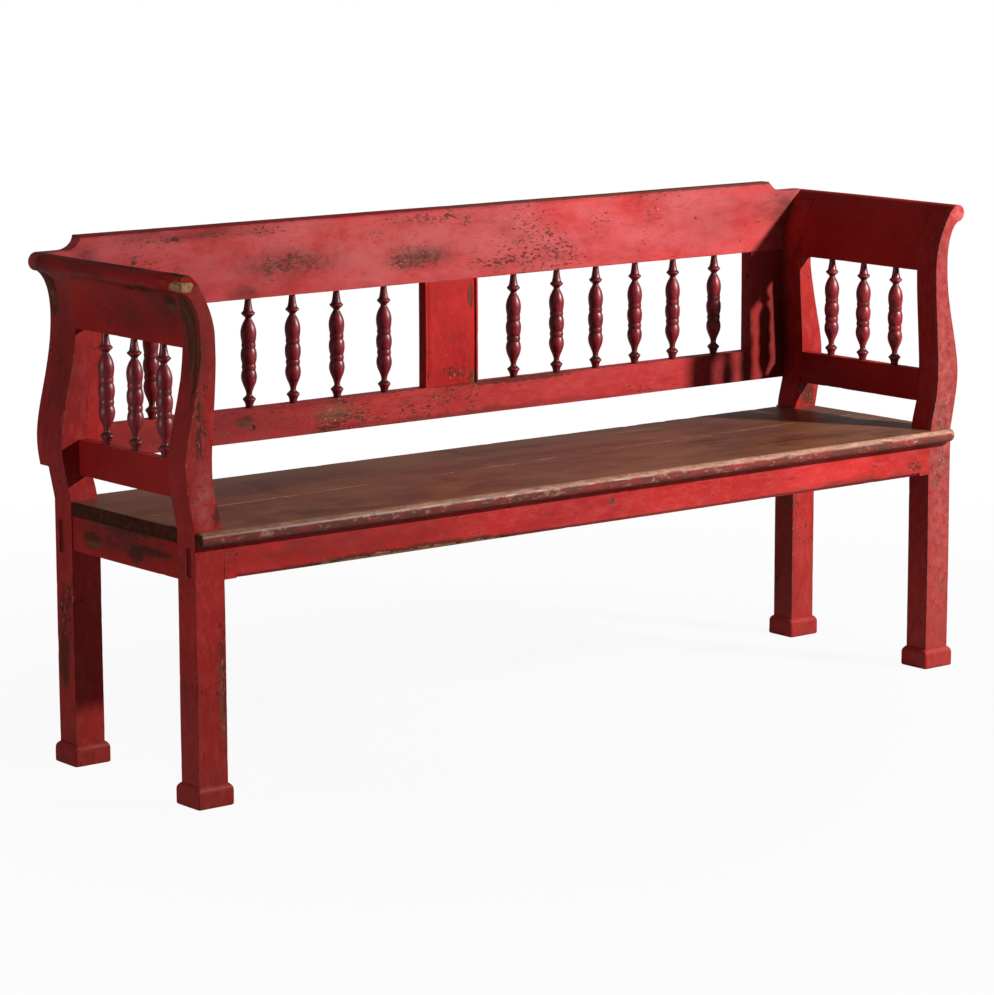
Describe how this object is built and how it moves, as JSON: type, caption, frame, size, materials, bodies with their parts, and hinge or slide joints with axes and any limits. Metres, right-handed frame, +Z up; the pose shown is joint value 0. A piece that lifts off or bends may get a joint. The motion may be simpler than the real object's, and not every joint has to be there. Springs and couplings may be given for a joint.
{
  "type": "wooden settle",
  "caption": "Long painted wooden settle with a plank seat, a spindle back and curved arms with rolled tops, on straight block-footed legs.",
  "frame": {"origin": "centre of the bounding box's underside, on the floor", "axes": "+X to the sitter's left along the seat, +Y from the seat's front edge to the back, +Z up"},
  "size_m": [1.791, 0.475, 0.91],
  "materials": {
    "frame_paint": "old red paint, crazed and rubbed through to brown wood at the edges",
    "turned_paint": "old red paint, darker and glossier on the turnings",
    "seat_wood": "worn brown wood with scratches and traces of paint",
    "peg_wood": "dark end grain",
    "bare_wood": "unpainted softwood, darkened by age"
  },
  "bodies": {
    "root": {"arm_board_left": "frame_paint", "arm_board_right": "frame_paint", "arm_rail_left": "frame_paint", "arm_rail_right": "frame_paint", "arm_roll_left": "frame_paint", "arm_roll_right": "frame_paint", "arm_spindle_left_1": "turned_paint", "arm_spindle_left_2": "turned_paint", "arm_spindle_left_3": "turned_paint", "arm_spindle_right_1": "turned_paint", "arm_spindle_right_2": "turned_paint", "arm_spindle_right_3": "turned_paint", "back_bottom_rail": "frame_paint", "back_peg_left_high": "peg_wood", "back_peg_left_low": "peg_wood", "back_peg_right_high": "peg_wood", "back_peg_right_low": "peg_wood", "back_rail_plug": "peg_wood", "back_spindle_left_1": "turned_paint", "back_spindle_left_2": "turned_paint", "back_spindle_left_3": "turned_paint", "back_spindle_left_4": "turned_paint", "back_spindle_left_5": "turned_paint", "back_spindle_left_6": "turned_paint", "back_spindle_right_1": "turned_paint", "back_spindle_right_2": "turned_paint", "back_spindle_right_3": "turned_paint", "back_spindle_right_4": "turned_paint", "back_spindle_right_5": "turned_paint", "back_spindle_right_6": "turned_paint", "back_stile_centre": "frame_paint", "back_stile_left": "frame_paint", "back_stile_right": "frame_paint", "back_top_rail": "frame_paint", "bearer_peg_front": "peg_wood", "bearer_peg_rear": "peg_wood", "foot_front_left": "frame_paint", "foot_front_right": "frame_paint", "foot_rear_left": "frame_paint", "foot_rear_right": "frame_paint", "post_front_left": "frame_paint", "post_front_right": "frame_paint", "post_rear_left": "frame_paint", "post_rear_right": "frame_paint", "seat_bearer": "bare_wood", "seat_plank_front": "seat_wood", "seat_plank_rear": "seat_wood", "seat_rail_front": "frame_paint", "seat_rail_left": "frame_paint", "seat_rail_rear": "frame_paint", "seat_rail_right": "frame_paint"}
  },
  "joints": []
}
